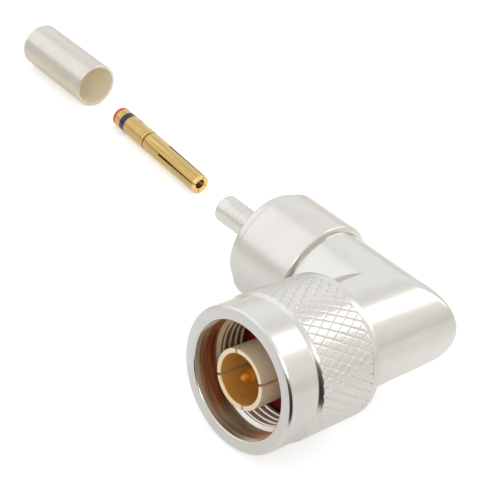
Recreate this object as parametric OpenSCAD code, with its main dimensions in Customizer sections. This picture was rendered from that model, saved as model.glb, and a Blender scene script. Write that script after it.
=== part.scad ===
// Right-angle N-type coaxial plug, with its loose centre contact and crimp ferrule.
// Origin: centre of the outer contact's tip face. The plug mates along -Y,
// the cable leaves along -X, and +Z is square to both.

/* [Coupling nut] */
// Outside radius of the smooth front band
nut_r = 10.1; // [9.9:0.05:10.3]
// Outside radius of the grip band
grip_r = 10.37; // [10.2:0.01:10.6]
// Distance from the contact tip forward to the nut's front face
nut_lead = 0.6; // [0.3:0.1:1.2]
// Length of the nut from front face to rear face
nut_len = 16.56; // [16:0.02:18]
// Length of the smooth front band
front_band_len = 4.9; // [4:0.1:6]
// Width of the groove behind the smooth band
band_groove_w = 0.45; // [0.3:0.05:0.8]
// Depth of the groove behind the smooth band
band_groove_depth = 0.35; // [0.2:0.05:0.5]
// Radius of the smooth mouth in front of the thread
mouth_r = 8.21; // [8.1:0.01:8.4]
// Depth of the smooth mouth
mouth_len = 4; // [3.5:0.1:4.2]
// Crest radius of the coupling thread, left as a plain bore
thread_r = 7.45; // [7.4:0.01:7.5]
// Length of the threaded bore, with its lead-in
thread_len = 4.2; // [3.6:0.1:4.6]

/* [Swivel] */
// Radius of the neck that the nut turns on
neck_r = 6.9; // [6.7:0.05:6.95]
// Radial running clearance of the nut on the neck
swivel_gap = 0.08; // [0.05:0.01:0.1]
// Thickness of the retaining ring
ring_t = 0.8; // [0.6:0.1:1]
// Angle of the gap in the retaining ring
ring_gap_deg = 30; // [15:1:45]

/* [Contacts] */
// Outside radius of the outer contact
outer_contact_r = 4.25; // [4.1:0.01:4.3]
// Bore radius of the outer contact
outer_contact_bore_r = 3.55; // [3.45:0.01:3.6]
// Number of spring fingers on the outer contact
outer_fingers = 4; // [3:1:6]
// Width of the slots in the outer contact
outer_slot_w = 0.35; // [0.25:0.05:0.5]
// Length of the slots in the outer contact
outer_slot_len = 6.2; // [5:0.1:7]
// Turn of the slots about the mating axis
outer_slot_turn = 24; // [0:1:89]
// Radius of the centre conductor
centre_r = 1.52; // [1.5:0.01:1.6]
// Radius of the mating pin
pin_r = 0.82; // [0.8:0.01:0.84]
// Distance from the contact tip back to the pin's tip
pin_lag = 0.6; // [0.4:0.1:1]
// Distance from the contact tip back to the pin's shoulder
shoulder_y = 5.3; // [5:0.1:6]

/* [Elbow] */
// Distance from the contact tip to the crossing of the two axes
elbow_y = 27.5; // [27:0.1:29]
// Outside radius of the mitred elbow
elbow_r = 8.15; // [8:0.05:8.4]
// Distance from each axis to the flat on the mitred corner
corner_flat = 7.8; // [7.5:0.05:8.1]

/* [Cable entry] */
// Outside radius of the rear housing
housing_r = 9.0; // [8.8:0.05:9.2]
// Distance from the crossing to the housing's front face
housing_start = 12; // [11:0.1:13]
// Length of the housing
housing_len = 10.3; // [10:0.1:11]
// Outside radius of the end cap
cap_r = 7.96; // [7.8:0.02:8.3]
// Thickness of the end cap outside the housing
cap_t = 1.7; // [1.4:0.1:2.2]
// Outside radius of the crimp stem over its ribs
stem_r = 2.27; // [2.25:0.01:2.4]
// Bore radius of the crimp stem
stem_bore_r = 1.92; // [1.9:0.01:1.94]
// Length of the crimp stem behind the cap
stem_len = 10.2; // [9:0.1:12]
// Distance between the ribs on the stem
rib_pitch = 1.1; // [0.9:0.05:1.3]
// Number of grooves between the ribs
rib_grooves = 7; // [5:1:8]

/* [Loose contact] */
// Outside radius of the loose centre contact
contact_r = 1.82; // [1.7:0.02:1.88]
// Length of the loose centre contact
contact_len = 27; // [24:0.5:29]
// Bore radius of the socket end
socket_r = 0.85; // [0.7:0.01:0.9]
// Length of the slots in the socket end
socket_slot_len = 11.2; // [9:0.1:14]
// Width of the slots in the socket end
socket_slot_w = 0.3; // [0.25:0.05:0.5]
// Bore radius of the conductor pot at the other end
pot_r = 0.95; // [0.8:0.01:1.1]
// Distance from the stem's axis sideways to the contact's socket end
contact_side = 12.15; // [11:0.05:14]
// Distance from the crossing to the contact's socket end
contact_back = 52.4; // [50:0.1:56]
// Angle between the lying contact and the stem
contact_yaw = 5.4; // [-8:0.2:8]

/* [Crimp ferrule] */
// Outside radius of the ferrule
ferrule_r = 4.25; // [3.8:0.05:4.4]
// Wall thickness of the ferrule
ferrule_wall = 0.5; // [0.4:0.05:0.7]
// Length of the ferrule
ferrule_len = 19.4; // [16:0.1:20]
// Distance from the stem's axis sideways to the ferrule's near end
ferrule_side = 14.6; // [13:0.1:17]
// Distance from the crossing to the ferrule's near end
ferrule_back = 87.7; // [80:0.1:90]
// Angle between the lying ferrule and the stem
ferrule_yaw = 1.7; // [-8:0.1:8]

/* [Hidden] */
$fn = 96;
eps = 0.01;

nut_front = -nut_lead;
nut_rear = nut_front + nut_len;
nut_edge = 0.35;
band_end = nut_front + front_band_len;
grip_start = band_end + band_groove_w;
mouth_end = nut_front + mouth_len;
thread_end = mouth_end + thread_len;
relief_r = 8.25;
web_len = 4.4;
web_start = nut_rear - web_len;

gasket_y = 8.35;
gasket_t = 2;
gasket_r = 8;
neck_front = gasket_y + gasket_t;
shoulder_gap = 0.3;
neck_rear = nut_rear + shoulder_gap;
base_r = 5.2;
base_front = neck_front - 1.3;
base_rear = 12.4;
line_bore_r = 3.5;

ring_y = 13.2;
ring_in_r = 6.35;
ring_out_r = 7.4;
ring_side = 0.1;
nut_ring_side = 0.3;
ring_room = 0.4;

spigot_r = 7.2;
spigot_len = 3;
housing_rear = housing_start + housing_len;
plug_r = 6.8;
plug_len = 2.6;
flange_r = 5.4;
flange_front = housing_start + spigot_len;
flange_rear = housing_rear - plug_len;
nose_front = 5;
insulator_bore_r = 2.1;

bead_lag = 2.4;
pin_fit = 0.04;
cross_len = 6;

floor_z = -grip_r;

// Turns a profile drawn as [radius, distance] about the mating axis.
module about_y(points) {
    rotate([-90, 0, 0])
        rotate_extrude()
            polygon(points);
}

// Turns a profile drawn as [radius, distance behind the crossing] about the stem axis.
module about_stem(points) {
    translate([0, elbow_y, 0])
        rotate([0, -90, 0])
            rotate_extrude()
                polygon(points);
}

// Straight cylinder on the mating axis between two distances.
module y_bar(r, y0, y1) {
    translate([0, y0, 0])
        rotate([-90, 0, 0])
            cylinder(r = r, h = y1 - y0);
}

// Straight cylinder on the stem axis between two distances behind the crossing.
module stem_bar(r, d0, d1) {
    translate([-d0, elbow_y, 0])
        rotate([0, -90, 0])
            cylinder(r = r, h = d1 - d0);
}

// Nut: smooth band, groove, grip band, and a web at the back that turns on the neck.
module coupling_nut() {
    web_r = neck_r + swivel_gap;
    groove_r = nut_r - band_groove_depth;
    slot_r = ring_out_r + ring_room;
    lead = relief_r - thread_r;
    color("gainsboro")
        about_y([
            [mouth_r, nut_front],
            [nut_r - nut_edge, nut_front],
            [nut_r, nut_front + nut_edge],
            [nut_r, band_end],
            [groove_r, band_end],
            [groove_r, grip_start],
            [grip_r, grip_start],
            [grip_r, nut_rear - nut_edge],
            [grip_r - nut_edge, nut_rear],
            [web_r, nut_rear],
            [web_r, ring_y + ring_t + nut_ring_side],
            [slot_r, ring_y + ring_t + nut_ring_side],
            [slot_r, ring_y - nut_ring_side],
            [web_r, ring_y - nut_ring_side],
            [web_r, web_start],
            [relief_r, web_start],
            [relief_r, thread_end],
            [thread_r, thread_end - lead / 2],
            [thread_r, mouth_end + lead / 2],
            [mouth_r, mouth_end]
        ]);
}

// Open spring ring that sits in the neck's groove and holds the nut.
module retaining_ring() {
    color("silver")
        difference() {
            y_bar(ring_out_r, ring_y, ring_y + ring_t);
            y_bar(ring_in_r, ring_y - 1, ring_y + ring_t + 1);
            rotate([0, 180, 0])
                rotate([-90, 0, 0])
                    linear_extrude(ring_y + ring_t + 1)
                        polygon([
                            [0, 0],
                            [20, -20 * tan(ring_gap_deg / 2)],
                            [20, 20 * tan(ring_gap_deg / 2)]
                        ]);
        }
}

// Silicone gasket on the neck's front face.
module gasket() {
    soft = 0.2;
    color("firebrick")
        about_y([
            [base_r + 0.05, gasket_y],
            [gasket_r - soft, gasket_y],
            [gasket_r, gasket_y + soft],
            [gasket_r, neck_front],
            [base_r + 0.05, neck_front]
        ]);
}

// Slotted spring sleeve with a stepped base pressed into the neck.
module outer_contact() {
    bevel = 0.2;
    color("lightgray")
        difference() {
            about_y([
                [outer_contact_bore_r + bevel, 0],
                [outer_contact_r, 0],
                [outer_contact_r, base_front],
                [base_r, base_front],
                [base_r, base_rear],
                [outer_contact_bore_r, base_rear],
                [outer_contact_bore_r, bevel]
            ]);
            for (i = [0 : outer_fingers - 1])
                rotate([0, -outer_slot_turn - i * 360 / outer_fingers, 0])
                    translate([outer_contact_bore_r - 1, -1, -outer_slot_w / 2])
                        cube([3, outer_slot_len + 1, outer_slot_w]);
        }
}

// Bead that carries the centre conductor inside the outer contact.
module front_insulator() {
    color("white")
        difference() {
            y_bar(outer_contact_bore_r, shoulder_y + bead_lag, base_rear);
            y_bar(centre_r, shoulder_y, base_rear + 1);
        }
}

// Centre conductor: rounded mating pin, shoulder, and a rod to the crossing.
module centre_pin() {
    tip = 0.45;
    rod_end = elbow_y + centre_r;
    color("goldenrod")
        difference() {
            about_y([
                [0, pin_lag],
                [pin_r - tip, pin_lag],
                for (a = [15 : 15 : 75])
                    [pin_r - tip + tip * sin(a), pin_lag + tip * (1 - cos(a))],
                [pin_r, pin_lag + tip],
                [pin_r, shoulder_y],
                [centre_r - 0.15, shoulder_y],
                [centre_r, shoulder_y + 0.15],
                [centre_r, rod_end - 0.3],
                [centre_r - 0.3, rod_end],
                [0, rod_end]
            ]);
            stem_bar(socket_r - pin_fit, 0, centre_r + 1);
        }
}

// Small pin that stands across the conductor and enters the loose contact's socket.
module cross_pin() {
    color("goldenrod")
        about_stem([
            [0, 0],
            [socket_r - pin_fit, 0],
            [socket_r - pin_fit, cross_len - 0.4],
            [socket_r - 0.3, cross_len],
            [0, cross_len]
        ]);
}

// Elbow: two equal cylinders that meet at a mitre with a small flat on its corner.
module elbow_outside() {
    reach = 40;
    union() {
        intersection() {
            y_bar(elbow_r, neck_rear, elbow_y + reach);
            translate([0, elbow_y, -reach / 2])
                linear_extrude(reach)
                    polygon([
                        [-reach, -reach],
                        [reach, -reach],
                        [reach, 2 * corner_flat - reach],
                        [corner_flat, corner_flat]
                    ]);
        }
        intersection() {
            stem_bar(elbow_r, -reach, housing_start);
            translate([0, elbow_y, -reach / 2])
                linear_extrude(reach)
                    polygon([
                        [-reach, -reach],
                        [corner_flat, corner_flat],
                        [2 * corner_flat - reach, reach],
                        [-reach, reach]
                    ]);
        }
    }
}

// Body: neck with the ring groove, mitred elbow, spigot for the housing, and both bores.
module elbow_body() {
    groove_r = ring_in_r - 0.1;
    color("gainsboro")
        difference() {
            union() {
                elbow_outside();
                y_bar(neck_r, neck_front, neck_rear + eps);
                stem_bar(spigot_r, housing_start - eps, housing_start + spigot_len);
            }
            y_bar(base_r, neck_front - 1, base_rear);
            y_bar(line_bore_r, base_rear - 1, elbow_y + line_bore_r);
            stem_bar(line_bore_r, 0, housing_start + spigot_len + 1);
            difference() {
                y_bar(neck_r + 1, ring_y - ring_side, ring_y + ring_t + ring_side);
                y_bar(groove_r, ring_y - 1, ring_y + ring_t + 1);
            }
        }
}

// Larger sleeve at the cable end, pressed on the elbow's spigot.
module rear_housing() {
    edge = 0.25;
    color("gainsboro")
        about_stem([
            [spigot_r, housing_start],
            [housing_r - 0.1, housing_start],
            [housing_r, housing_start + 0.1],
            [housing_r, housing_rear - edge],
            [housing_r - edge, housing_rear],
            [plug_r, housing_rear],
            [plug_r, flange_rear],
            [flange_r, flange_rear],
            [flange_r, flange_front],
            [spigot_r, flange_front]
        ]);
}

// Bush that guides the loose contact onto the cross pin.
module stem_insulator() {
    color("white")
        about_stem([
            [insulator_bore_r, nose_front],
            [line_bore_r, nose_front],
            [line_bore_r, flange_front],
            [flange_r, flange_front],
            [flange_r, flange_rear],
            [insulator_bore_r, flange_rear]
        ]);
}

// End cap with the ribbed crimp stem that the braid and ferrule go over.
module crimp_stem() {
    cap_rear = housing_rear + cap_t;
    tip = cap_rear + stem_len;
    edge = 0.3;
    round_r = 0.28;
    rib_depth = 0.16;
    first = cap_rear + 0.55;
    color("gainsboro")
        about_stem([
            [stem_bore_r, flange_rear],
            [plug_r, flange_rear],
            [plug_r, housing_rear],
            [cap_r, housing_rear],
            [cap_r, cap_rear - edge],
            [cap_r - edge, cap_rear],
            [stem_r, cap_rear],
            for (i = [0 : rib_grooves - 1], c = rib_corners(first + i * rib_pitch, rib_depth)) c,
            [stem_r, tip - round_r],
            for (a = [30, 60])
                [stem_r - round_r * (1 - cos(a)), tip - round_r * (1 - sin(a))],
            [stem_r - round_r, tip],
            [stem_bore_r, tip]
        ]);
}

// Corners of one rounded groove between two ribs, as [radius, distance].
function rib_corners(d, depth) = [
    [stem_r, d],
    [stem_r - depth, d + 0.3 * rib_pitch],
    [stem_r - depth, d + 0.5 * rib_pitch],
    [stem_r, d + 0.8 * rib_pitch]
];

// Lays a part built along +Z down on the floor, with its near end at the given place.
module lay_down(back, side, yaw, r) {
    translate([-back, elbow_y + side, floor_z + r])
        rotate([0, 0, -yaw])
            rotate([0, -90, 0])
                children();
}

// Loose centre contact: slotted socket end, groove, inspection hole and conductor pot.
module crimp_contact() {
    round_r = 0.35;
    groove_z = contact_len - 9.5;
    groove_w = 0.45;
    groove_depth = 0.2;
    hole_z = contact_len - 5.8;
    hole_r = 0.45;
    hole_turn = 22;
    slot_turns = [14, 104];
    pot_len = 7;
    mouth = 0.25;
    color("gold")
        lay_down(contact_back, contact_side, contact_yaw, contact_r)
            difference() {
                rotate_extrude()
                    polygon([
                        [socket_r + mouth, 0],
                        [contact_r - round_r, 0],
                        for (a = [30, 60])
                            [contact_r - round_r * (1 - sin(a)), round_r * (1 - cos(a))],
                        [contact_r, round_r],
                        [contact_r, groove_z],
                        [contact_r - groove_depth, groove_z + 0.1],
                        [contact_r - groove_depth, groove_z + groove_w - 0.1],
                        [contact_r, groove_z + groove_w],
                        [contact_r, contact_len - mouth],
                        [contact_r - mouth, contact_len],
                        [pot_r, contact_len],
                        [pot_r, contact_len - pot_len],
                        [0, contact_len - pot_len - pot_r / 2],
                        [0, socket_slot_len + 0.6],
                        [socket_r, socket_slot_len + 0.2],
                        [socket_r, mouth]
                    ]);
                for (turn = slot_turns)
                    rotate([0, 0, turn])
                        translate([-contact_r - 1, -socket_slot_w / 2, -1])
                            cube([2 * contact_r + 2, socket_slot_w, socket_slot_len + 1]);
                translate([0, 0, hole_z])
                    rotate([0, 90, hole_turn])
                        cylinder(r = hole_r, h = contact_r + 1);
            }
}

// Loose crimp ferrule: a plain thin tube with broken edges.
module crimp_ferrule() {
    edge = 0.12;
    bore_r = ferrule_r - ferrule_wall;
    color("silver")
        lay_down(ferrule_back, ferrule_side, ferrule_yaw, ferrule_r)
            rotate_extrude()
                polygon([
                    [bore_r + edge, 0],
                    [ferrule_r - edge, 0],
                    [ferrule_r, edge],
                    [ferrule_r, ferrule_len - edge],
                    [ferrule_r - edge, ferrule_len],
                    [bore_r + edge, ferrule_len],
                    [bore_r, ferrule_len - edge],
                    [bore_r, edge]
                ]);
}

coupling_nut();
retaining_ring();
gasket();
outer_contact();
front_insulator();
centre_pin();
cross_pin();
elbow_body();
rear_housing();
stem_insulator();
crimp_stem();
crimp_contact();
crimp_ferrule();
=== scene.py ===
import math

import bmesh
import bpy
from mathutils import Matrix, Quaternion, Vector


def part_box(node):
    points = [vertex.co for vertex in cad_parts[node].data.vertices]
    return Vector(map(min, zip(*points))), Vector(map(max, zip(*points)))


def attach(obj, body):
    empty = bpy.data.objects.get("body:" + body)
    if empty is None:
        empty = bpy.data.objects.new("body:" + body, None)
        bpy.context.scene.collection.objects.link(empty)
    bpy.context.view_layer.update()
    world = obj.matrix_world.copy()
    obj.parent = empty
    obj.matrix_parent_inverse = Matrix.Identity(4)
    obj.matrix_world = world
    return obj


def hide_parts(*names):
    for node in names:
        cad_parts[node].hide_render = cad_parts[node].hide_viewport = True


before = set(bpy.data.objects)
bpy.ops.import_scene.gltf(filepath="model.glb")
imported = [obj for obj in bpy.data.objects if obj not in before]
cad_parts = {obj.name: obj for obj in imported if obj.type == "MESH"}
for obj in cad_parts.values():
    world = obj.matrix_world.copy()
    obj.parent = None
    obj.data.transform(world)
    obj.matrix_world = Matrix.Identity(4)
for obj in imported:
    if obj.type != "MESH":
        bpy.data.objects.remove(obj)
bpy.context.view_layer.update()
MM = 0.001

# ---------------------------------------------------------------- camera
# A short tele lens on a stand, in front of the plug and to its right. It looks down
# on the mouth of the nut and is rolled a little, so the cable end rises to the left.
lens_data = bpy.data.cameras.new("camera")
lens_data.lens = 94.2
lens_data.sensor_width = 36.0
lens_data.clip_start = 0.01
camera = bpy.data.objects.new("camera", lens_data)
bpy.context.scene.collection.objects.link(camera)
bpy.context.scene.camera = camera
camera_place = Vector((84.0, -99.8, 98.25)) * MM
camera_aim = Vector((-25.8, 23.2, 0.0)) * MM
camera_roll = Quaternion((0, 0, 1), math.radians(12.5))
camera.location = camera_place
camera.rotation_mode = "QUATERNION"
camera.rotation_quaternion = (camera_aim - camera_place).to_track_quat("-Z", "Y") @ camera_roll

# ---------------------------------------------------------------- coupling nut
# Turned and knurled brass with a thin satin nickel plate. The front band is left smooth
# and the thread is cut in the bore behind a plain mouth. It turns freely on the
# elbow's neck, held there by the open spring ring.
nut_low, nut_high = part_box("coupling_nut")
NUT_FRONT = nut_low.y / MM
NUT_REAR = nut_high.y / MM
GRIP_R = (nut_high.x - nut_low.x) / 2 / MM
BAND_R = 10.1
NUT_MOUTH_R = 8.21
NECK_R = 6.9
STEPS = 180


def turned(name, profile, steps=STEPS, closed=True):
    """Turns a profile of (radius, station) points in mm about +Z, one ring after another.

    A closed profile joins its last ring to its first.
    """
    radius, station = profile[0]
    bpy.ops.mesh.primitive_circle_add(vertices=steps, radius=radius * MM)
    piece = bpy.context.object
    piece.name = name
    bpy.ops.object.mode_set(mode="EDIT")
    bpy.ops.transform.translate(value=(0, 0, station * MM))
    for next_radius, next_station in profile[1:]:
        rise = (0, 0, (next_station - station) * MM)
        bpy.ops.mesh.extrude_edges_move(TRANSFORM_OT_translate={"value": rise})
        grow = next_radius / radius
        bpy.ops.transform.resize(value=(grow, grow, 1), center_override=(0, 0, 0))
        radius, station = next_radius, next_station
    if closed:
        rings = bmesh.from_edit_mesh(piece.data)
        ends = [edge for edge in rings.edges if edge.is_boundary]
        for edge in rings.edges:
            edge.select_set(False)
        for edge in ends:
            edge.select_set(True)
        bmesh.update_edit_mesh(piece.data)
        bpy.ops.mesh.bridge_edge_loops()
    bpy.ops.mesh.select_all(action="SELECT")
    bpy.ops.mesh.normals_make_consistent(inside=False)
    bpy.ops.object.mode_set(mode="OBJECT")
    return piece


def use_modifier(piece, kind, **settings):
    """Adds one modifier with these settings and applies it."""
    bpy.context.view_layer.objects.active = piece
    modifier = piece.modifiers.new(kind.lower(), kind)
    for key, value in settings.items():
        setattr(modifier, key, value)
    bpy.ops.object.modifier_apply(modifier=modifier.name)


def finish_edges(piece, width, angle=28, segments=2):
    """Breaks the sharp edges by a width in mm and shades the piece smooth between them."""
    use_modifier(
        piece, "BEVEL", width=width * MM, segments=segments,
        limit_method="ANGLE", angle_limit=math.radians(angle),
    )
    bpy.ops.object.select_all(action="DESELECT")
    piece.select_set(True)
    bpy.context.view_layer.objects.active = piece
    bpy.ops.object.shade_smooth_by_angle(angle=math.radians(angle))
    use_modifier(piece, "WEIGHTED_NORMAL", keep_sharp=True)
    piece.select_set(False)


def lay(piece, turn, shift=(0, 0, 0)):
    """Turns and shifts a piece made on +Z to its place, and bakes the place into its mesh."""
    bpy.ops.object.select_all(action="DESELECT")
    piece.select_set(True)
    bpy.context.view_layer.objects.active = piece
    piece.rotation_euler = turn
    piece.location = Vector(shift) * MM
    bpy.ops.object.transform_apply(location=True, rotation=True, scale=True)
    piece.select_set(False)


def close_ends(piece):
    """Fills a piece's open ends and faces it outward."""
    bpy.context.view_layer.objects.active = piece
    bpy.ops.object.mode_set(mode="EDIT")
    bpy.ops.mesh.select_mode(type="EDGE")
    bpy.ops.mesh.select_all(action="DESELECT")
    bpy.ops.mesh.select_non_manifold()
    bpy.ops.mesh.fill_holes(sides=0)
    bpy.ops.mesh.select_all(action="SELECT")
    bpy.ops.mesh.normals_make_consistent(inside=False)
    bpy.ops.object.mode_set(mode="OBJECT")


def join(main, *others):
    """Joins pieces into the first one."""
    bpy.ops.object.select_all(action="DESELECT")
    for piece in (main, *others):
        piece.select_set(True)
    bpy.context.view_layer.objects.active = main
    bpy.ops.object.join()
    main.select_set(False)


# Every piece is made upright on +Z, then laid along the nut's axis or the stem's.
ALONG_MATING = (-math.pi / 2, 0, 0)
ALONG_STEM = (0, -math.pi / 2, 0)

band_end = NUT_FRONT + 4.9
grip_start = band_end + 0.32
grip_end = NUT_REAR - 1.4
mouth_end = NUT_FRONT + 4.0
thread_end = mouth_end + 4.6
thread_root_r = 7.98
lead_in_r = 7.6
relief_r = 8.25
web_r = NECK_R + 0.08
groove_r = BAND_R - 0.3
web_front = NUT_REAR - 4.4
ring_slot = 12.9
ring_slot_end = ring_slot + 1.4
ring_slot_r = 7.8
rim = 0.28
mouth_chamfer = 0.13
rear_chamfer = 0.3
grip_chamfer = 0.34
knurl_start = grip_start + grip_chamfer
knurl_out = grip_end - 0.1
nut = turned("coupling_nut_turned", [
    (NUT_MOUTH_R + mouth_chamfer, NUT_FRONT),
    (BAND_R - rim, NUT_FRONT),
    (BAND_R, NUT_FRONT + rim),
    (BAND_R, band_end - 0.06),
    (BAND_R - 0.06, band_end),
    (groove_r, band_end),
    (groove_r, grip_start - 0.1),
    (groove_r + 0.03, grip_start),
    (GRIP_R - 0.04, knurl_start - 0.04),
    (BAND_R + 0.02, knurl_start),
    (BAND_R + 0.02, knurl_out),
    (GRIP_R - 0.02, knurl_out),
    (GRIP_R, knurl_out + 0.04),
    (GRIP_R, NUT_REAR - rear_chamfer),
    (GRIP_R - rear_chamfer, NUT_REAR),
    (web_r, NUT_REAR),
    (web_r, ring_slot_end),
    (ring_slot_r, ring_slot_end),
    (ring_slot_r, ring_slot),
    (web_r, ring_slot),
    (web_r, web_front),
    (relief_r, web_front),
    (relief_r, thread_end),
    (thread_root_r, thread_end),
    (thread_root_r, mouth_end + 0.6),
    (lead_in_r, mouth_end + 0.5),
    (lead_in_r, mouth_end + 0.25),
    (NUT_MOUTH_R, mouth_end),
    (NUT_MOUTH_R, NUT_FRONT + mouth_chamfer),
])
finish_edges(nut, 0.03)

# One ridge, a flat-topped trapezoid, winds four times round the bore.
THREAD_PITCH = 25.4 / 24
THREAD_TURNS = 4
THREAD_STEPS = 104 * THREAD_TURNS
thread_first = mouth_end + 0.48
crest_r = 7.45
ridge_foot_r = 8.05
half_foot = 0.5
half_crest = 0.21
bpy.ops.mesh.primitive_plane_add(size=1)
thread = bpy.context.object
thread.name = "thread_ridge"
bpy.ops.object.mode_set(mode="EDIT")
bpy.ops.mesh.delete(type="ONLY_FACE")
outline = bmesh.from_edit_mesh(thread.data)
outline.verts.ensure_lookup_table()
# The plane's corners run (-,-), (+,-), (-,+), (+,+), so the crest takes the first of each pair.
corners = [
    (crest_r, -half_crest), (ridge_foot_r, -half_foot),
    (crest_r, half_crest), (ridge_foot_r, half_foot),
]
for vertex, (x, z) in zip(outline.verts, corners):
    vertex.co = Vector((x, 0, z)) * MM
bmesh.update_edit_mesh(thread.data)
bpy.ops.object.mode_set(mode="OBJECT")
use_modifier(
    thread, "SCREW", axis="Z", angle=THREAD_TURNS * 2 * math.pi,
    screw_offset=THREAD_TURNS * THREAD_PITCH * MM, iterations=1,
    steps=THREAD_STEPS, render_steps=THREAD_STEPS, use_merge_vertices=False,
)
close_ends(thread)
thread.location.z = thread_first * MM
bpy.ops.object.transform_apply(location=True, rotation=True, scale=True)
finish_edges(thread, 0.03)

# A cross knurl: 45 grooves each way, about 30 degrees off the axis, leave diamonds.
KNURL_COUNT = 45
KNURL_ROWS = 4
knurl_bottom_r = 10.27
knurl_foot_r = BAND_R - 0.2
half_groove = 0.12
knurl_row = (grip_end - knurl_start) / KNURL_ROWS
knurl = turned(
    "knurl",
    [(knurl_bottom_r, knurl_start + knurl_row * row) for row in range(KNURL_ROWS + 1)],
    steps=KNURL_COUNT, closed=False,
)
bpy.ops.object.mode_set(mode="EDIT")
bpy.ops.mesh.select_all(action="SELECT")
# Each cell of the grid gets a cross. Without the cells' own edges, that makes diamonds.
bpy.ops.mesh.mark_seam()
bpy.ops.mesh.poke()
bpy.ops.mesh.select_mode(type="EDGE")
grid = bmesh.from_edit_mesh(knurl.data)
for edge in grid.edges:
    edge.select_set(edge.seam and not edge.is_boundary)
bmesh.update_edit_mesh(knurl.data)
bpy.ops.mesh.dissolve_edges(use_verts=False)
bpy.ops.mesh.select_all(action="SELECT")
bpy.ops.mesh.mark_seam(clear=True)
bpy.ops.mesh.select_mode(type="FACE")
bpy.ops.mesh.select_all(action="SELECT")
bpy.ops.mesh.normals_make_consistent(inside=False)
bpy.ops.mesh.inset(
    thickness=half_groove * MM, depth=(GRIP_R - knurl_bottom_r) * MM, use_individual=True,
)
# The diamonds' tops are laid on the round bar that the knurl was rolled into.
bpy.ops.mesh.subdivide(number_cuts=3)
bpy.ops.object.vertex_group_assign_new()
bpy.ops.object.mode_set(mode="OBJECT")
bpy.ops.mesh.primitive_cylinder_add(
    vertices=360, radius=GRIP_R * MM, depth=30 * MM, end_fill_type="NOTHING",
    location=(0, 0, grip_start * MM),
)
bar = bpy.context.object
use_modifier(knurl, "SHRINKWRAP", target=bar, vertex_group=knurl.vertex_groups[0].name)
bpy.data.objects.remove(bar)
knurl.vertex_groups.clear()
bpy.context.view_layer.objects.active = knurl
bpy.ops.object.mode_set(mode="EDIT")
bpy.ops.mesh.select_mode(type="EDGE")
bpy.ops.mesh.select_all(action="DESELECT")
bpy.ops.mesh.select_non_manifold()
bpy.ops.mesh.extrude_edges_move()
inward = knurl_foot_r / knurl_bottom_r
bpy.ops.transform.resize(value=(inward, inward, 1), center_override=(0, 0, 0))
bpy.ops.mesh.bridge_edge_loops()
bpy.ops.mesh.select_all(action="SELECT")
bpy.ops.mesh.normals_make_consistent(inside=False)
bpy.ops.object.mode_set(mode="OBJECT")
finish_edges(knurl, 0.03, angle=20)
join(nut, thread, knurl)
lay(nut, ALONG_MATING)


def linear(code):
    """An sRGB hex colour as linear red, green, blue and alpha."""
    parts = [int(code[i:i + 2], 16) / 255 for i in (1, 3, 5)]
    return (*[p / 12.92 if p <= 0.04045 else ((p + 0.055) / 1.055) ** 2.4 for p in parts], 1.0)


def add_node(tree, kind, settings=None, links=None):
    """Adds a node. Settings are its properties or socket values, links its inputs' sources."""
    node = tree.nodes.new(kind)
    for key, value in (settings or {}).items():
        if isinstance(key, str) and hasattr(node, key) and key not in node.inputs:
            setattr(node, key, value)
        else:
            node.inputs[key].default_value = value
    for key, source in (links or {}).items():
        tree.links.new(source, node.inputs[key])
    return node


def rescale(tree, value, low, high, to_low=0.0, to_high=1.0):
    """A value's share of the way from low to high, spread over another range."""
    return add_node(tree, "ShaderNodeMapRange", {
        "From Min": low, "From Max": high, "To Min": to_low, "To Max": to_high,
    }, {"Value": value}).outputs["Result"]


def maths(tree, operation, *terms):
    """A maths node's result. Its terms are numbers or sockets."""
    settings = {i: term for i, term in enumerate(terms) if isinstance(term, (int, float))}
    links = {i: term for i, term in enumerate(terms) if i not in settings}
    settings["operation"] = operation
    return add_node(tree, "ShaderNodeMath", settings, links).outputs[0]


def two_tone(tree, share, light, dark):
    """A colour between two hex colours, by a share from 0 to 1."""
    return add_node(tree, "ShaderNodeMix", {
        "data_type": "RGBA", 6: linear(light), 7: linear(dark),
    }, {0: share}).outputs[2]


def ramp(tree, share, stops):
    """A colour off a ramp of (position, colour) stops, in order."""
    node = add_node(tree, "ShaderNodeValToRGB", links={"Fac": share})
    elements = node.color_ramp.elements
    for element, (position, colour) in zip(elements, (stops[0], stops[-1])):
        element.position, element.color = position, colour
    for position, colour in stops[1:-1]:
        elements.new(position).color = colour
    return node.outputs["Color"]


def in_mm(tree, centre=(0, 0, 0)):
    """Object coordinates in mm from a centre."""
    place = add_node(tree, "ShaderNodeTexCoord").outputs["Object"]
    return add_node(tree, "ShaderNodeMapping", {
        "Location": [-c for c in centre], "Scale": (1 / MM, 1 / MM, 1 / MM),
    }, {"Vector": place}).outputs[0]


def noise(tree, place, scale, detail, roughness=0.5):
    """Fractal noise from 0 to 1."""
    return add_node(tree, "ShaderNodeTexNoise", {
        "Scale": scale, "Detail": detail, "Roughness": roughness,
    }, {"Vector": place}).outputs["Fac"]


def bump(tree, height, strength, depth):
    """A normal that follows a height, in mm."""
    return add_node(tree, "ShaderNodeBump", {
        "Strength": strength, "Distance": depth * MM,
    }, {"Height": height}).outputs["Normal"]


def new_material(name):
    """An empty node material, with its tree."""
    material = bpy.data.materials.new(name)
    material.use_nodes = True
    material.node_tree.nodes.clear()
    return material, material.node_tree


def surface(tree, settings, links):
    """Ends a material's tree in one principled surface."""
    shader = add_node(tree, "ShaderNodeBsdfPrincipled", settings, links)
    add_node(tree, "ShaderNodeOutputMaterial", links={"Surface": shader.outputs[0]})


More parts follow.
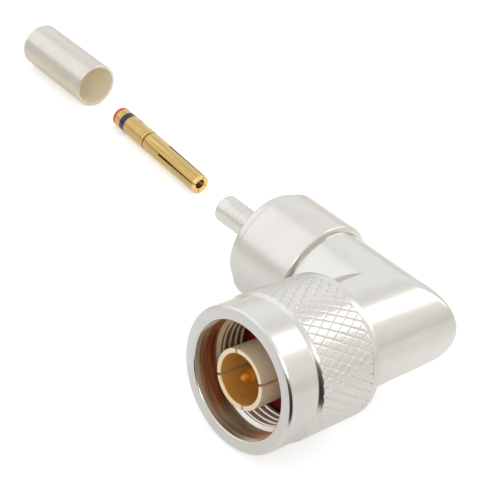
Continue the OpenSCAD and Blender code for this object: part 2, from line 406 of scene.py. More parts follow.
def turned_metal(name, light, dark, roughness, axis, centre, marks=0.35, metal=1.0):
    """Plated metal off a lathe: fine rings round one axis, and a faint cloud in the plating."""
    material, tree = new_material(name)
    place = in_mm(tree, centre)
    parts = add_node(tree, "ShaderNodeSeparateXYZ", links={"Vector": place})
    sideways = "Y" if axis == "X" else "X"
    flat = add_node(tree, "ShaderNodeCombineXYZ", links={
        sideways: parts.outputs[sideways], "Z": parts.outputs["Z"],
    })
    radial = add_node(
        tree, "ShaderNodeVectorMath", {"operation": "LENGTH"}, {0: flat.outputs[0]},
    )
    rings = add_node(tree, "ShaderNodeCombineXYZ", links={
        "X": parts.outputs[axis], "Y": radial.outputs["Value"],
    })
    # The feed marks stand in groups about 0.35 mm apart, and the plate clouds over
    # patches of about 4 mm.
    feed = noise(tree, rings.outputs[0], 1 / 0.35, 3.0, 0.6)
    cloud = noise(tree, place, 1 / 4, 4.0, 0.6)
    surface(tree, {"Metallic": metal, "Specular Tint": NICKEL_EDGE}, {
        "Base Color": two_tone(tree, cloud, light, dark),
        "Roughness": rescale(tree, feed, 0.3, 0.7, roughness * 0.85, roughness * 1.15),
        "Normal": bump(tree, feed, marks, 0.004),
    })
    return material


# Satin nickel over turned brass: a pale grey that blurs what it mirrors, and darkens a
# little where it is seen edge on.
NICKEL_EDGE = linear("#f2f1ef")
nut.data.materials.append(
    turned_metal("satin_nickel_nut", "#dcdbd8", "#d2d0cc", 0.24, "Y", (0, 0, 0)),
)

# Inside the nut the colour is painted: pale at the mouth and red brown further in, as painted
# shade and a painted reddish reflection, with the rings that the boring tool left.
bore_painted_shade, tree = new_material("bore_with_painted_shade_and_reflection")
place = in_mm(tree)
parts = add_node(tree, "ShaderNodeSeparateXYZ", links={"Vector": place})
depth = rescale(tree, parts.outputs["Y"], NUT_FRONT, thread_end)
# Painted light: the pale mouth colour reaches further in at the top.
painted_light_top = rescale(tree, parts.outputs["Z"], 2.4, 5.2, 0.0, 0.3)
painted_shade_depth = maths(tree, "SUBTRACT", depth, painted_light_top)
painted_bore_colour = ramp(tree, painted_shade_depth, [
    (0.03, linear("#f6efdc")),
    (0.15, linear("#d29a70")),
    (0.4, linear("#c66a48")),
    (0.55, linear("#ecc896")),
])
# Towards the bottom of the bore the colour turns pale cream.
pale_bottom = rescale(tree, parts.outputs["Z"], -7.1, -8.0, 0.0, 0.85)
wall = add_node(tree, "ShaderNodeMix", {"data_type": "RGBA", 7: linear("#dccfb0")}, {
    0: pale_bottom, 6: painted_bore_colour,
})
streaks = add_node(tree, "ShaderNodeMapping", {"Scale": (0.06, 1, 0.06)}, {"Vector": place})
tool_rings = noise(tree, streaks.outputs[0], 2.6, 3.0)
tint = add_node(tree, "ShaderNodeVectorMath", {"operation": "SCALE"}, {
    0: wall.outputs[2], "Scale": rescale(tree, tool_rings, 0.38, 0.62, 0.6, 1.15),
})
# Where the painted shade is least, near the mouth and at the top, the surface is milky and
# mirrors less.
surface(tree, {"Roughness": 0.24}, {
    "Base Color": tint.outputs[0],
    "Metallic": rescale(tree, painted_shade_depth, -0.04, 0.04, 0.05, 0.7),
    "Normal": bump(tree, tool_rings, 0.4, 0.01),
})
nut.data.materials.append(bore_painted_shade)

# The thread's ridges and the lead-in are painted bright as painted light, and dull and
# brownish on one side of the bore as painted shade.
thread_painted_light, tree = new_material("thread_painted_light_and_shade")
place = in_mm(tree)
parts = add_node(tree, "ShaderNodeSeparateXYZ", links={"Vector": place})
painted_lit_side = rescale(tree, parts.outputs["X"], -7.4, -2.5)
mottle = noise(tree, place, 1.5, 3.0)
surface(tree, {"Metallic": 0.65}, {
    "Base Color": two_tone(tree, painted_lit_side, "#a8977c", "#faf7f1"),
    "Roughness": rescale(tree, mottle, 0.0, 1.0, 0.22, 0.4),
})
nut.data.materials.append(thread_painted_light)
for face in nut.data.polygons:
    centre = face.center / MM
    radius = math.hypot(centre.x, centre.z)
    in_bore = NUT_FRONT + mouth_chamfer + 0.03 < centre.y < web_front + 0.1
    bored = in_bore and radius < relief_r + 0.02
    # The thread's crests, the faces toward the mouth and the lead-in get the bright material:
    # painted light where light comes in.
    faces_mouth = face.normal.y < -0.2
    painted_lit = centre.y > mouth_end - 0.05 and (radius < crest_r + 0.07 or faces_mouth)
    face.material_index = (2 if painted_lit else 1) if bored else 0
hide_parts("coupling_nut")
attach(nut, "nut")

# ---------------------------------------------------------------- elbow body
# One turned and milled brass body, nickel plated: two equal round legs that meet at a
# mitre, milled round on the outside. The neck and its ring groove are under the nut, a
# fine line is turned behind the nut, and a bore runs through both legs.
stem_low, stem_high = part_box("crimp_stem")
ELBOW_Y = (stem_low.y + stem_high.y) / 2 / MM
ELBOW_R = 8.15
HOUSING_START = -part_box("rear_housing")[1].x / MM
STEM_CENTRE = (0, ELBOW_Y, 0)
SPIGOT_R = 7.2
spigot_end = HOUSING_START + 3
corner_round = 1.0
line_bore_r = 3.5
base_r = 5.2
base_end = 12.4
neck_front = 10.35
neck_rear = NUT_REAR + 0.3
ring_groove = 13.1
ring_groove_end = ring_groove + 1
ring_groove_r = NECK_R - 0.65
turned_line = neck_rear + 0.9
# Both legs start overlong and are cut at the mitre.
over = 40
front_leg = turned("elbow_body_mitred", [
    (line_bore_r, ELBOW_Y + over),
    (line_bore_r, base_end),
    (base_r, base_end),
    (base_r, neck_front),
    (NECK_R, neck_front),
    (NECK_R, ring_groove),
    (ring_groove_r, ring_groove),
    (ring_groove_r, ring_groove_end),
    (NECK_R, ring_groove_end),
    (NECK_R, neck_rear),
    (ELBOW_R, neck_rear),
    (ELBOW_R, turned_line),
    (ELBOW_R - 0.13, turned_line + 0.2),
    (ELBOW_R, turned_line + 0.4),
    (ELBOW_R, ELBOW_Y + over),
], closed=False)
lay(front_leg, ALONG_MATING)
rear_leg = turned("elbow_body_rear", [
    (line_bore_r, -over),
    (line_bore_r, spigot_end),
    (SPIGOT_R, spigot_end),
    (SPIGOT_R, HOUSING_START),
    (ELBOW_R, HOUSING_START),
    (ELBOW_R, -over),
], closed=False)
lay(rear_leg, ALONG_STEM, STEM_CENTRE)
for leg, side in ((front_leg, 1), (rear_leg, -1)):
    bpy.context.view_layer.objects.active = leg
    bpy.ops.object.mode_set(mode="EDIT")
    bpy.ops.mesh.select_all(action="SELECT")
    bpy.ops.mesh.bisect(
        plane_co=Vector(STEM_CENTRE) * MM, plane_no=(-side, side, 0), clear_outer=True,
        threshold=1e-7,
    )
    bpy.ops.object.mode_set(mode="OBJECT")
join(front_leg, rear_leg)
elbow = front_leg
bpy.ops.object.mode_set(mode="EDIT")
bpy.ops.mesh.select_all(action="SELECT")
bpy.ops.mesh.remove_doubles(threshold=2e-6)
bpy.ops.mesh.normals_make_consistent(inside=False)
# The outer half of the mitre's edge is milled round, most at the corner.
bpy.ops.mesh.select_mode(type="EDGE")
bpy.ops.mesh.select_all(action="DESELECT")
shell = bmesh.from_edit_mesh(elbow.data)
for edge in shell.edges:
    ends = [v.co / MM for v in edge.verts]
    on_mitre = all(abs(e.x - e.y + ELBOW_Y) < 0.01 for e in ends)
    outside = all(math.hypot(e.x, e.z) > ELBOW_R - 0.05 and e.x > 0.1 for e in ends)
    edge.select_set(on_mitre and outside)
bmesh.update_edit_mesh(elbow.data)
bpy.ops.mesh.bevel(offset=corner_round * MM, segments=8, affect="EDGES")
bpy.ops.mesh.select_all(action="SELECT")
bpy.ops.mesh.normals_make_consistent(inside=False)
bpy.ops.object.mode_set(mode="OBJECT")
finish_edges(elbow, 0.05, angle=30)


def rolled_metal(name, light, dark, roughness, grain=0.5, grain_depth=0.35, metal=1.0):
    """Barrel-plated metal with no tool marks: a faint orange-peel grain and clouded plate."""
    material, tree = new_material(name)
    place = in_mm(tree)
    peel = noise(tree, place, 1 / grain, 4.0, 0.55)
    cloud = noise(tree, place, 0.22, 4.0, 0.6)
    surface(tree, {"Metallic": metal, "Specular Tint": NICKEL_EDGE}, {
        "Base Color": two_tone(tree, cloud, light, dark),
        "Roughness": rescale(tree, cloud, 0.3, 0.7, roughness * 0.85, roughness * 1.15),
        "Normal": bump(tree, peel, grain_depth, 0.003),
    })
    return material


# Satin nickel over milled and tumbled brass, a shade smoother than the nut.
elbow.data.materials.append(rolled_metal("satin_nickel_elbow", "#dcdbd8", "#d2d0cc", 0.22))
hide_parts("elbow_body")
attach(elbow, "plug_body")

# ---------------------------------------------------------------- rear housing
# A turned brass sleeve pressed on the elbow's spigot, a little larger than the elbow,
# nickel plated. Its front end leans a little over the elbow, and it clamps the bush inside.
HOUSING_END = -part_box("rear_housing")[0].x / MM
HOUSING_R = (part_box("rear_housing")[1].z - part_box("rear_housing")[0].z) / 2 / MM
cap_plug_r = 6.8
cap_plug_end = HOUSING_END - 2.6
bush_r = 5.4
front_lean = 0.22
end_chamfer = 0.35
housing = turned("rear_housing_turned", [
    (SPIGOT_R, HOUSING_START),
    (ELBOW_R - 0.05, HOUSING_START),
    (ELBOW_R - 0.05, HOUSING_START - front_lean),
    (ELBOW_R + 0.05, HOUSING_START - front_lean),
    (HOUSING_R - 0.1, HOUSING_START - 0.02),
    (HOUSING_R, HOUSING_START + 0.14),
    (HOUSING_R, HOUSING_END - end_chamfer),
    (HOUSING_R - end_chamfer, HOUSING_END),
    (cap_plug_r, HOUSING_END),
    (cap_plug_r, cap_plug_end),
    (bush_r, cap_plug_end),
    (bush_r, spigot_end),
    (SPIGOT_R, spigot_end),
])
finish_edges(housing, 0.06)
lay(housing, ALONG_STEM, STEM_CENTRE)
cable_end_nickel = turned_metal(
    "satin_nickel_cable_end", "#dcdad6", "#d1cec9", 0.23, "X", STEM_CENTRE,
)
housing.data.materials.append(cable_end_nickel)
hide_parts("rear_housing")
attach(housing, "plug_body")

# ---------------------------------------------------------------- end cap and crimp stem
# One turned piece: a cap pressed in the housing's end, and a thin tube with rings cut
# round it, which the cable's braid is crimped on.
CAP_R = (stem_high.z - stem_low.z) / 2 / MM
STEM_END = -stem_low.x / MM
STEM_R = 2.27
stem_bore_r = 1.92
stem_chamfer = 0.18
cap_end = HOUSING_END + 1.7
cap_chamfer = 0.25
rib_count = 7
first_rib = cap_end + 0.55
rib_pitch = 1.1
rib_depth = 0.16
stem_profile = [
    (stem_bore_r, cap_plug_end),
    (cap_plug_r, cap_plug_end),
    (cap_plug_r, HOUSING_END),
    (CAP_R, HOUSING_END),
    (CAP_R, cap_end - cap_chamfer),
    (CAP_R - cap_chamfer, cap_end),
    (STEM_R, cap_end),
]
for rib in range(rib_count):
    start = first_rib + rib * rib_pitch
    stem_profile += [
        (STEM_R, start),
        (STEM_R - rib_depth, start + 0.3 * rib_pitch),
        (STEM_R - rib_depth, start + 0.5 * rib_pitch),
        (STEM_R, start + 0.8 * rib_pitch),
    ]
stem_profile += [
    (STEM_R, STEM_END - stem_chamfer),
    (STEM_R - stem_chamfer, STEM_END),
    (stem_bore_r, STEM_END),
]
stem = turned("crimp_stem_turned", stem_profile)
finish_edges(stem, 0.07, segments=3)
lay(stem, ALONG_STEM, STEM_CENTRE)
stem.data.materials.append(cable_end_nickel)
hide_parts("crimp_stem")
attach(stem, "plug_body")

# ---------------------------------------------------------------- outer contact
# A sleeve of spring bronze, silver-white outside and gold inside, with four sawn slots
# that make it springy. Its stepped base is pressed in the elbow's neck.
SLEEVE_R = 4.25
sleeve_bore_r = 3.55
sleeve_end = 9.05
sleeve_chamfer = 0.1
slot_length = 6.2
slot_width = 0.35
slot_turn = 24
sleeve = turned("outer_contact_slotted", [
    (sleeve_bore_r, sleeve_chamfer),
    (sleeve_bore_r + sleeve_chamfer, 0),
    (SLEEVE_R, 0),
    (SLEEVE_R, sleeve_end),
    (base_r, sleeve_end),
    (base_r, base_end),
    (sleeve_bore_r, base_end),
])
saw_reach = sleeve_bore_r + 0.5
for quarter in range(4):
    bpy.ops.mesh.primitive_cube_add(size=1)
    cutter = bpy.context.object
    cutter.scale = Vector((3, slot_width, slot_length + 1)) * MM
    turn = math.radians(-slot_turn - 90 * quarter)
    cutter.location = Vector((
        saw_reach * math.cos(turn), saw_reach * math.sin(turn), (slot_length - 1) / 2,
    )) * MM
    cutter.rotation_euler = (0, 0, turn)
    bpy.ops.object.transform_apply(location=True, rotation=True, scale=True)
    use_modifier(sleeve, "BOOLEAN", object=cutter, operation="DIFFERENCE", solver="EXACT")
    bpy.data.objects.remove(cutter)
finish_edges(sleeve, 0.04)
lay(sleeve, ALONG_MATING)
sleeve_plate = turned_metal(
    "silver_white_sleeve", "#eee0c5", "#e3d2b2", 0.36, "Y", (0, 0, 0), marks=0.25, metal=0.5,
)


def gold_plate(name, light, dark, roughness, metal=1.0):
    """Bright gold plate: deep yellow that darkens where the plate is thin."""
    material, tree = new_material(name)
    cloud = noise(tree, in_mm(tree), 0.8, 3.0)
    surface(tree, {"Metallic": metal}, {
        "Base Color": two_tone(tree, cloud, light, dark),
        "Roughness": rescale(tree, cloud, 0.3, 0.7, roughness * 0.8, roughness * 1.2),
    })
    return material


sleeve.data.materials.append(sleeve_plate)
sleeve.data.materials.append(
    gold_plate("gold_inside_sleeve", "#edc06c", "#d9a854", 0.4, metal=0.6),
)
for face in sleeve.data.polygons:
    centre = face.center / MM
    face.material_index = int(math.hypot(centre.x, centre.z) < sleeve_bore_r + 0.08)
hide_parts("outer_contact")
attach(sleeve, "plug_body")

# ---------------------------------------------------------------- centre conductor
# A gold-plated brass rod: a thin mating pin with a coned nose, a shoulder, and a thicker
# rod that runs through the insulator to the crossing.
PIN_R = 0.82
ROD_R = 1.52
pin_tip = 0.6
nose_length = 0.9
shoulder = 5.3
rod_end = ELBOW_Y + 1.5
rod_chamfer = 0.3
pin = turned("centre_pin_turned", [
    (0.03, pin_tip),
    (0.3, pin_tip),
    (0.42, pin_tip + 0.1),
    (0.74, pin_tip + 0.75),
    (PIN_R, pin_tip + 1.0),
    (PIN_R, shoulder),
    (ROD_R - 0.12, shoulder),
    (ROD_R, shoulder + 0.12),
    (ROD_R, rod_end - rod_chamfer),
    (ROD_R - rod_chamfer, rod_end),
    (0.02, rod_end),
], steps=72, closed=False)
close_ends(pin)
finish_edges(pin, 0.06, angle=12, segments=3)
lay(pin, ALONG_MATING)
pin.data.materials.append(gold_plate("gold_pin_body_painted_light", "#ffbe50", "#f2a83c", 0.34, metal=0.5))
# The body behind the nose is painted brighter than the nose, as painted light against the shade
# deep in the sleeve.
pin.data.materials.append(gold_plate("gold_nose_darker", "#d3912f", "#c07d24", 0.36, metal=0.75))
for face in pin.data.polygons:
    face.material_index = int(face.center.y / MM < pin_tip + nose_length)
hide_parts("centre_pin")
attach(pin, "plug_body")

# ---------------------------------------------------------------- insulators, cross pin and ring
# Turned fluoropolymer bead and bush, the small gold cross pin in the elbow, and the
# open ring of spring steel. They sit deep inside, so their solids are shown as they are.
fluoropolymer, tree = new_material("waxy_fluoropolymer")
haze = noise(tree, in_mm(tree), 0.9, 2.0)
surface(tree, {
    "Roughness": 0.42, "IOR": 1.35, "Subsurface Weight": 0.15, "Subsurface Scale": 0.5 * MM,
}, {"Base Color": two_tone(tree, haze, "#e9e7e1", "#dedbd2")})
spring_steel = turned_metal("spring_steel", "#b9b9ba", "#a5a5a7", 0.3, "Y", (0, 0, 0))
gold_dull = gold_plate("gold_inside", "#dcaa4c", "#bd8a34", 0.25)
for node, material in (
    ("front_insulator", fluoropolymer), ("stem_insulator", fluoropolymer),
    ("cross_pin", gold_dull), ("retaining_ring", spring_steel),
):
    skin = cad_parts[node].data
    skin.materials.clear()
    skin.materials.append(material)

# ---------------------------------------------------------------- gasket
# A moulded ring of dark red silicone on the neck's face, where a jack's end presses it.
gasket_in_r = 5.25
gasket_out_r = 8.0
gasket_front = neck_front - 2
gasket = turned("gasket_ring", [
    (gasket_in_r, gasket_front),
    (gasket_out_r, gasket_front),
    (gasket_out_r, neck_front),
    (gasket_in_r, neck_front),
])
finish_edges(gasket, 0.25, segments=4)
lay(gasket, ALONG_MATING)
silicone, tree = new_material("moulded_silicone")
bloom = noise(tree, in_mm(tree), 1.4, 5.0)
surface(tree, {"Roughness": 0.5, "IOR": 1.41}, {
    "Base Color": two_tone(tree, bloom, "#8e1a14", "#6e120f"),
    "Normal": bump(tree, bloom, 0.4, 0.01),
})
gasket.data.materials.append(silicone)
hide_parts("gasket")
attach(gasket, "plug_body")

# ---------------------------------------------------------------- loose centre contact
# A gold-plated brass contact that waits for the cable's conductor: a slotted socket at
# one end, a thin groove, and a pot with an inspection hole at the other.
FLOOR = -GRIP_R
CONTACT_R = 1.82
contact_tip_r = 1.75
contact_rear_r = 1.87
tip_round = 0.35
CONTACT_LENGTH = 27.0
CONTACT_PLACE = (-52.4, ELBOW_Y + 12.15, FLOOR + CONTACT_R)
CONTACT_TURN = (0, -math.pi / 2, math.radians(-5.4))
groove = CONTACT_LENGTH - 10.75
groove_width = 0.45
groove_bottom_r = contact_rear_r - 0.25
socket_r = 0.85
socket_chamfer = 0.25
socket_slot = 11.2
socket_depth = socket_slot + 0.6
pot_r = 0.95
pot_depth = 7
drill_point = 0.4
contact_profile = [
    (0.02, socket_depth),
    (socket_r, socket_depth),
    (socket_r, socket_chamfer),
    (socket_r + socket_chamfer, 0),
]
for step in range(4):
    turn = math.radians(30 * step)
    contact_profile.append((
        contact_tip_r - tip_round * (1 - math.sin(turn)), tip_round * (1 - math.cos(turn)),
    ))
contact_profile += [
    (contact_rear_r, groove - 2),
    (contact_rear_r, groove),
    (groove_bottom_r, groove + 0.06),
    (groove_bottom_r, groove + groove_width - 0.06),
    (contact_rear_r, groove + groove_width),
    (contact_rear_r, CONTACT_LENGTH - 0.2),
    (contact_rear_r - 0.2, CONTACT_LENGTH),
    (pot_r, CONTACT_LENGTH),
    (pot_r, CONTACT_LENGTH - pot_depth),
    (0.02, CONTACT_LENGTH - pot_depth - drill_point),
]
contact = turned("crimp_contact_turned", contact_profile, steps=96, closed=False)
close_ends(contact)
# The fingers are closed in, so the sawn slots narrow to the tip.
saw_width = 0.38
closed_in = 0.32
for slot_angle in (12, 104):
    bpy.ops.mesh.primitive_cube_add(size=1)
    cutter = bpy.context.object
    cutter.scale = Vector((6, saw_width, socket_slot + 1)) * MM
    cutter.location.z = (socket_slot - 1) / 2 * MM
    bpy.ops.object.transform_apply(location=True, rotation=True, scale=True)
    bpy.ops.object.mode_set(mode="EDIT")
    bpy.ops.mesh.select_all(action="DESELECT")
    saw = bmesh.from_edit_mesh(cutter.data)
    for vertex in saw.verts:
        vertex.select_set(vertex.co.z < 0)
    saw.select_flush(True)
    bmesh.update_edit_mesh(cutter.data)
    bpy.ops.transform.resize(value=(1, closed_in, 1), center_override=(0, 0, 0))
    bpy.ops.object.mode_set(mode="OBJECT")
    cutter.rotation_euler = (0, 0, math.radians(slot_angle))
    bpy.ops.object.transform_apply(location=False, rotation=True, scale=False)
    use_modifier(contact, "BOOLEAN", object=cutter, operation="DIFFERENCE", solver="EXACT")
    bpy.data.objects.remove(cutter)
# The inspection hole goes through one side of the pot.
hole_r = 0.45
hole_turn = math.radians(22)
hole_station = CONTACT_LENGTH - 5.8
drill_reach = 1.6
bpy.ops.mesh.primitive_cylinder_add(vertices=32, radius=hole_r * MM, depth=3 * MM)
drill = bpy.context.object
drill.rotation_euler = (0, math.pi / 2, hole_turn)
drill.location = Vector((
    drill_reach * math.cos(hole_turn), drill_reach * math.sin(hole_turn), hole_station,
)) * MM
bpy.ops.object.transform_apply(location=True, rotation=True, scale=True)
use_modifier(contact, "BOOLEAN", object=drill, operation="DIFFERENCE", solver="EXACT")
bpy.data.objects.remove(drill)
finish_edges(contact, 0.04)
lay(contact, CONTACT_TURN, CONTACT_PLACE)

# Bright gold with two painted colour bands at the pot's end: a thin red one on the edge
# and a dark blue one a little way along.
banded_gold, tree = new_material("gold_with_colour_bands")
place = add_node(tree, "ShaderNodeTexCoord").outputs["Object"]
to_contact = add_node(tree, "ShaderNodeMapping", {
    "vector_type": "TEXTURE", "Location": Vector(CONTACT_PLACE) * MM,
    "Rotation": CONTACT_TURN, "Scale": (MM, MM, MM),
}, {"Vector": place})
parts = add_node(tree, "ShaderNodeSeparateXYZ", links={"Vector": to_contact.outputs[0]})
along = parts.outputs["Z"]
# Behind the groove the tool left rings every 0.45 mm; the socket was polished lengthwise.
rings = add_node(tree, "ShaderNodeMapping", {"Scale": (0.05, 0.05, 2.2)}, {
    "Vector": to_contact.outputs[0],
})
polish = add_node(tree, "ShaderNodeMapping", {"Scale": (2.2, 2.2, 0.06)}, {
    "Vector": to_contact.outputs[0],
})
lines = add_node(tree, "ShaderNodeMix", {"data_type": "VECTOR"}, {
    0: maths(tree, "GREATER_THAN", along, groove), 4: polish.outputs[0], 5: rings.outputs[0],
})
cloud = noise(tree, lines.outputs[1], 1.0, 2.0)
wear = rescale(tree, cloud, 0.35, 0.65)
# Painted sheen: the gold turns pale where it is seen edge on.
painted_sheen_facing = add_node(tree, "ShaderNodeLayerWeight", {"Blend": 0.5})
gold_with_painted_sheen = add_node(tree, "ShaderNodeMix", {"data_type": "RGBA", 7: linear("#d2c092")}, {
    0: painted_sheen_facing.outputs["Facing"], 6: two_tone(tree, wear, "#d4ae5e", "#a17f34"),
})
# Each band runs so far to both sides of its middle.
red_middle, red_half = CONTACT_LENGTH - 0.4, 0.48
blue_middle, blue_half = CONTACT_LENGTH - 3.15, 0.72
red_band = maths(tree, "COMPARE", along, red_middle, red_half)
blue_band = maths(tree, "COMPARE", along, blue_middle, blue_half)
red = add_node(tree, "ShaderNodeMix", {"data_type": "RGBA", 7: linear("#d8452a")}, {
    0: red_band, 6: gold_with_painted_sheen.outputs[2],
})
blue = add_node(tree, "ShaderNodeMix", {"data_type": "RGBA", 7: linear("#2b1f4a")}, {
    0: blue_band, 6: red.outputs[2],
})
painted = maths(tree, "MAXIMUM", red_band, blue_band)
surface(tree, {"Roughness": 0.18}, {
    "Base Color": blue.outputs[2],
    "Metallic": maths(tree, "MULTIPLY_ADD", painted, -0.7, 1.0),
    "Normal": bump(tree, cloud, 0.5, 0.008),
})
contact.data.materials.append(banded_gold)
# The socket's end face is painted paler, as a painted highlight.
contact.data.materials.append(gold_plate("gold_socket_end_painted_highlight", "#fbd99c", "#eec27e", 0.3, metal=0.5))
for face in contact.data.polygons:
    from_tip = (face.center / MM - Vector(CONTACT_PLACE)).length
    face.material_index = int(from_tip < contact_tip_r)
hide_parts("crimp_contact")
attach(contact, "plug_body")

# ---------------------------------------------------------------- crimp ferrule
# A short tube of soft brass, dull nickel plated and cut square with its edges broken. It
# lies loose, until it is slid over the braid and crimped on the stem.
FERRULE_R = 4.25
FERRULE_LENGTH = 19.4
ferrule_wall = 0.5
FERRULE_PLACE = (-87.7, ELBOW_Y + 14.6, FLOOR + FERRULE_R)
ferrule = turned("crimp_ferrule_tube", [
    (FERRULE_R - ferrule_wall, 0),
    (FERRULE_R, 0),
    (FERRULE_R, FERRULE_LENGTH),
    (FERRULE_R - ferrule_wall, FERRULE_LENGTH),
])
finish_edges(ferrule, 0.12, segments=3)
ferrule_turn = math.radians(1.7)
lay(ferrule, (0, -math.pi / 2, -ferrule_turn), FERRULE_PLACE)
ferrule.data.materials.append(rolled_metal(
    "dull_nickel_ferrule", "#dad6cf", "#cbc6be", 0.24, grain=0.35, grain_depth=0.5,
))
# The bath barely reaches the inside, which stays matt and yellowish.
ferrule.data.materials.append(rolled_metal(
    "matt_plate_in_ferrule", "#faf3e2", "#f2e8d0", 0.5, grain=0.35, grain_depth=0.5, metal=0.25,
))
tube_way = Vector((-math.cos(ferrule_turn), math.sin(ferrule_turn), 0))
for face in ferrule.data.polygons:
    out = face.center - Vector(FERRULE_PLACE) * MM
    out -= tube_way * out.dot(tube_way)
    faces_in = out.dot(face.normal) < -0.5 * out.length
    face.material_index = int(faces_in)
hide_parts("crimp_ferrule")
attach(ferrule, "plug_body")

# ---------------------------------------------------------------- floor and light
# A white sweep under a bright tent, with a long strip lamp behind, a softbox on the left
# and a small lamp at the front right.
bpy.ops.mesh.primitive_plane_add(size=4.0, location=(0, 0, (FLOOR - 0.02) * MM))
floor = bpy.context.object
floor.name = "floor"
paper, tree = new_material("white_paper")
ray = add_node(tree, "ShaderNodeLightPath")
# Painted reflections: in the metal, the paper's glow is painted darker in front and on the right,
# and a painted shadow darkens it where the two loose pieces throw their shade before them.
place = in_mm(tree)
parts = add_node(tree, "ShaderNodeSeparateXYZ", links={"Vector": place})
depth = rescale(tree, parts.outputs["Y"], -35, 30, 0.1, 1.0)
side = rescale(tree, parts.outputs["X"], -60, 50)
glow_painted_darker_right = rescale(tree, parts.outputs["X"], 11, 35, 0.3, 0.06)
behind = rescale(tree, parts.outputs["Y"], 30, 37)
beside = rescale(tree, parts.outputs["X"], -62, -44)
clear_of_painted_shadow = maths(tree, "MAXIMUM", behind, beside)
outside_painted_shadow = maths(tree, "MULTIPLY", glow_painted_darker_right, clear_of_painted_shadow)
mirrored = maths(tree, "MULTIPLY", outside_painted_shadow, depth)
# Painted reflection: seen in mirrors, the paper is warmer on the left and a little on the right.
painted_reflection_tint = ramp(tree, side, [
    (0.0, (1, 0.96, 0.86, 1)),
    (0.25, (1, 1, 1, 1)),
    (1.0, (1, 0.985, 0.94, 1)),
])
paper_tone = add_node(tree, "ShaderNodeMix", {"data_type": "RGBA", 6: (1, 1, 1, 1)}, {
    0: ray.outputs["Is Glossy Ray"], 7: painted_reflection_tint,
})
sheet_tone = add_node(tree, "ShaderNodeVectorMath", {"operation": "SCALE", "Scale": 0.9}, {
    0: paper_tone.outputs[2],
})
sheet = add_node(tree, "ShaderNodeBsdfDiffuse", links={"Color": sheet_tone.outputs[0]})
glow = add_node(tree, "ShaderNodeMix", {2: 0.38}, {0: ray.outputs["Is Glossy Ray"], 3: mirrored})
white = add_node(tree, "ShaderNodeEmission", links={
    "Color": paper_tone.outputs[2], "Strength": glow.outputs[0],
})
lit = add_node(tree, "ShaderNodeAddShader", links={0: sheet.outputs[0], 1: white.outputs[0]})
seen = maths(tree, "MAXIMUM", ray.outputs["Is Camera Ray"], ray.outputs["Is Glossy Ray"])
shown = add_node(tree, "ShaderNodeMixShader", links={
    0: seen, 1: sheet.outputs[0], 2: lit.outputs[0],
})
add_node(tree, "ShaderNodeOutputMaterial", links={"Surface": shown.outputs[0]})
floor.data.materials.append(paper)

# A black card low at the front right, which only mirrors see, draws the dark edge lines as a
# painted reflection.
bpy.ops.mesh.primitive_plane_add(size=1)
card = bpy.context.object
card.name = "black_card_for_painted_reflection"
card.scale = (70 * MM, 100 * MM, 1)
card.rotation_euler = (math.radians(-31), 0, math.radians(42))
card.location = Vector((42, -46, 14)) * MM
velvet, tree = new_material("black_velvet")
cloth = add_node(tree, "ShaderNodeBsdfDiffuse", {"Color": (0.01, 0.009, 0.008, 1)})
add_node(tree, "ShaderNodeOutputMaterial", links={"Surface": cloth.outputs[0]})
card.data.materials.append(velvet)
card.visible_camera = False
card.visible_diffuse = False
card.visible_shadow = False
card.visible_transmission = False

world = bpy.data.worlds.new("tent")
bpy.context.scene.world = world
world.use_nodes = True
tree = world.node_tree
tree.nodes.clear()
ray = add_node(tree, "ShaderNodeLightPath")
way = add_node(tree, "ShaderNodeTexCoord").outputs["Generated"]
parts = add_node(tree, "ShaderNodeSeparateXYZ", links={"Vector": way})
tent_glow = rescale(tree, parts.outputs["Z"], 0.0, 0.31, 0.8, 1.05)
tent_side = rescale(tree, parts.outputs["X"], -0.4, 0.4)
tent_tone = add_node(tree, "ShaderNodeMix", {
    "data_type": "RGBA", 6: (1, 1, 1, 1), 7: (0.96, 0.925, 0.875, 1),
}, {0: tent_side})
# The tent is brightest low at the back left, with a darker fold beside the strip lamp.
toward_back = add_node(tree, "ShaderNodeVectorMath", {
    "operation": "DOT_PRODUCT", 1: (-0.63, 0.65, 0.43),
}, {0: way})
back_glow = rescale(tree, toward_back.outputs["Value"], 0.9, 0.99, 0.0, 0.07)
toward_fold = add_node(tree, "ShaderNodeVectorMath", {
    "operation": "DOT_PRODUCT", 1: (-0.2, 0.65, 0.73),
}, {0: way})
fold_shade = rescale(tree, toward_fold.outputs["Value"], 0.975, 1.0, 0.0, -0.12)
tent_marks = maths(tree, "ADD", back_glow, fold_shade)
tent_light = maths(tree, "ADD", tent_glow, tent_marks)
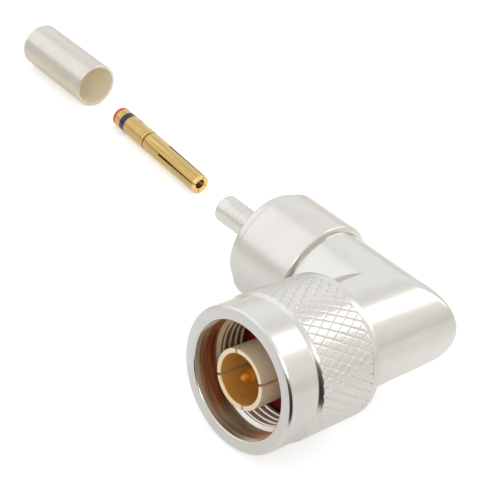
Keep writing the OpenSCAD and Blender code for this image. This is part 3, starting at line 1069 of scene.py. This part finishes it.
# Matt surfaces get most light from the left and from the far right.
across = rescale(tree, parts.outputs["X"], -1.0, 1.0)
around = ramp(tree, across, [
    (0.3, (0.48, 0.48, 0.48, 1)),
    (0.55, (0.26, 0.26, 0.26, 1)),
    (0.82, (0.26, 0.26, 0.26, 1)),
    (0.95, (1, 1, 1, 1)),
])
soft = add_node(tree, "ShaderNodeBackground", {"Strength": 2.0}, {"Color": around})
mirrored = add_node(tree, "ShaderNodeBackground", links={
    "Color": tent_tone.outputs[2], "Strength": tent_light,
})
backdrop = add_node(tree, "ShaderNodeBackground", {"Color": (1, 1, 1, 1), "Strength": 1.0})
first = add_node(tree, "ShaderNodeMixShader", links={
    0: ray.outputs["Is Glossy Ray"], 1: soft.outputs[0], 2: mirrored.outputs[0],
})
seen = maths(tree, "MAXIMUM", ray.outputs["Is Camera Ray"], ray.outputs["Is Transmission Ray"])
second = add_node(tree, "ShaderNodeMixShader", links={
    0: seen, 1: first.outputs[0], 2: backdrop.outputs[0],
})
add_node(tree, "ShaderNodeOutputWorld", links={"Surface": second.outputs[0]})

plug_middle = Vector((-5, 22, 0)) * MM
for name, azimuth, elevation, distance, width, length, power in (
    ("strip", 159, 43, 0.5, 0.14, 0.5, 0.4),
    ("softbox", -54, 38, 0.6, 0.62, 0.7, 0.28),
    ("front", 38, 26, 0.5, 0.2, 0.2, 0.35),
):
    lamp_data = bpy.data.lights.new(name, "AREA")
    lamp_data.shape = "RECTANGLE"
    lamp_data.size = width
    lamp_data.size_y = length
    lamp_data.energy = power
    lamp = bpy.data.objects.new(name, lamp_data)
    bpy.context.scene.collection.objects.link(lamp)
    turn = math.radians(azimuth)
    rise = math.radians(elevation)
    away = Vector((
        math.sin(turn) * math.cos(rise), -math.cos(turn) * math.cos(rise), math.sin(rise),
    ))
    lamp.location = plug_middle + away * distance
    lamp.rotation_mode = "QUATERNION"
    lamp.rotation_quaternion = (-away).to_track_quat("-Z", "Y")

bpy.context.scene.view_settings.view_transform = "Standard"
